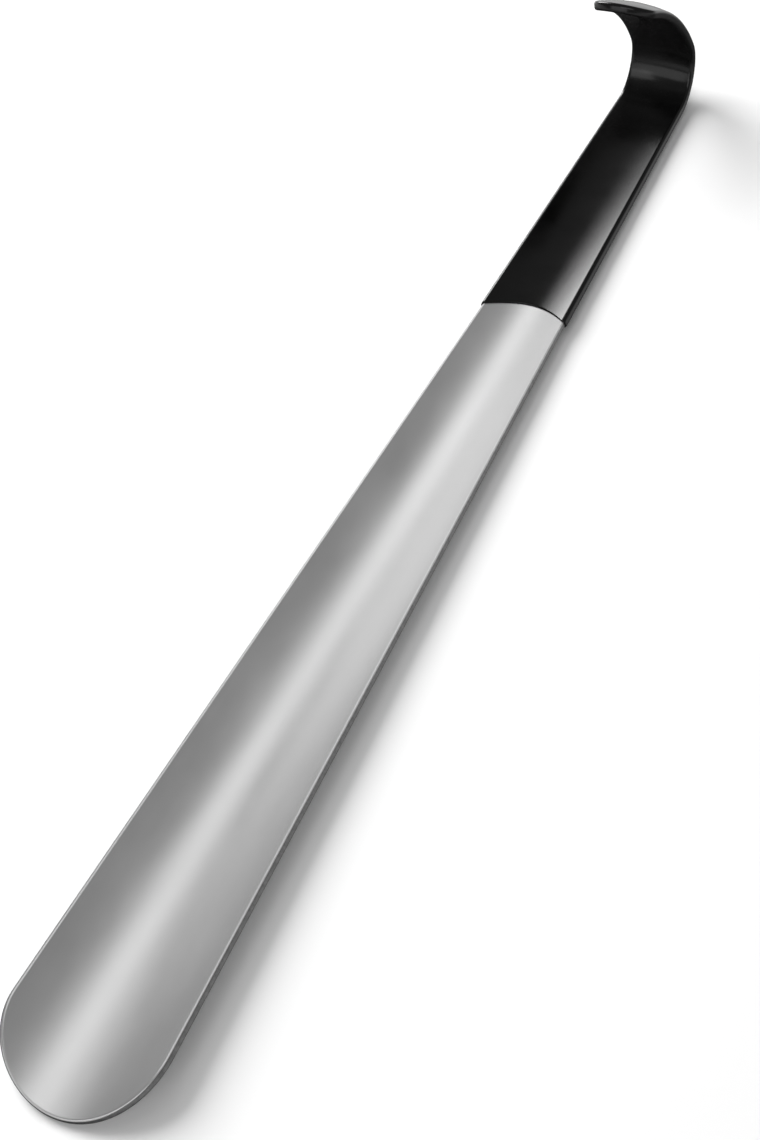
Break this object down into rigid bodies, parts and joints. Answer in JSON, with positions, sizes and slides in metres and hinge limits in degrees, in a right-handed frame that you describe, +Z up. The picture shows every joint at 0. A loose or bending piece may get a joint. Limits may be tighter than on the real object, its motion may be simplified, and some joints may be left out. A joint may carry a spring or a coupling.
{
  "type": "long shoehorn",
  "caption": "Long rigid shoehorn: dished steel blade on a straight shank, with a glossy sleeved handle that ends in an open hanging hook.",
  "frame": {"origin": "middle of the footprint, on the surface that the shoehorn lies on", "axes": "+Y along the strip from the blade's tip to the hook, +Z up, the side that the blade is hollow on and that the hook bends to, X across the strip"},
  "size_m": [0.0454, 0.4198, 0.0642],
  "materials": {
    "steel": "satin, fine grain along the length",
    "sleeve_vinyl": "glossy soft vinyl"
  },
  "bodies": {
    "root": {"horn_blade": "steel", "grip_sleeve": "sleeve_vinyl"}
  },
  "joints": []
}
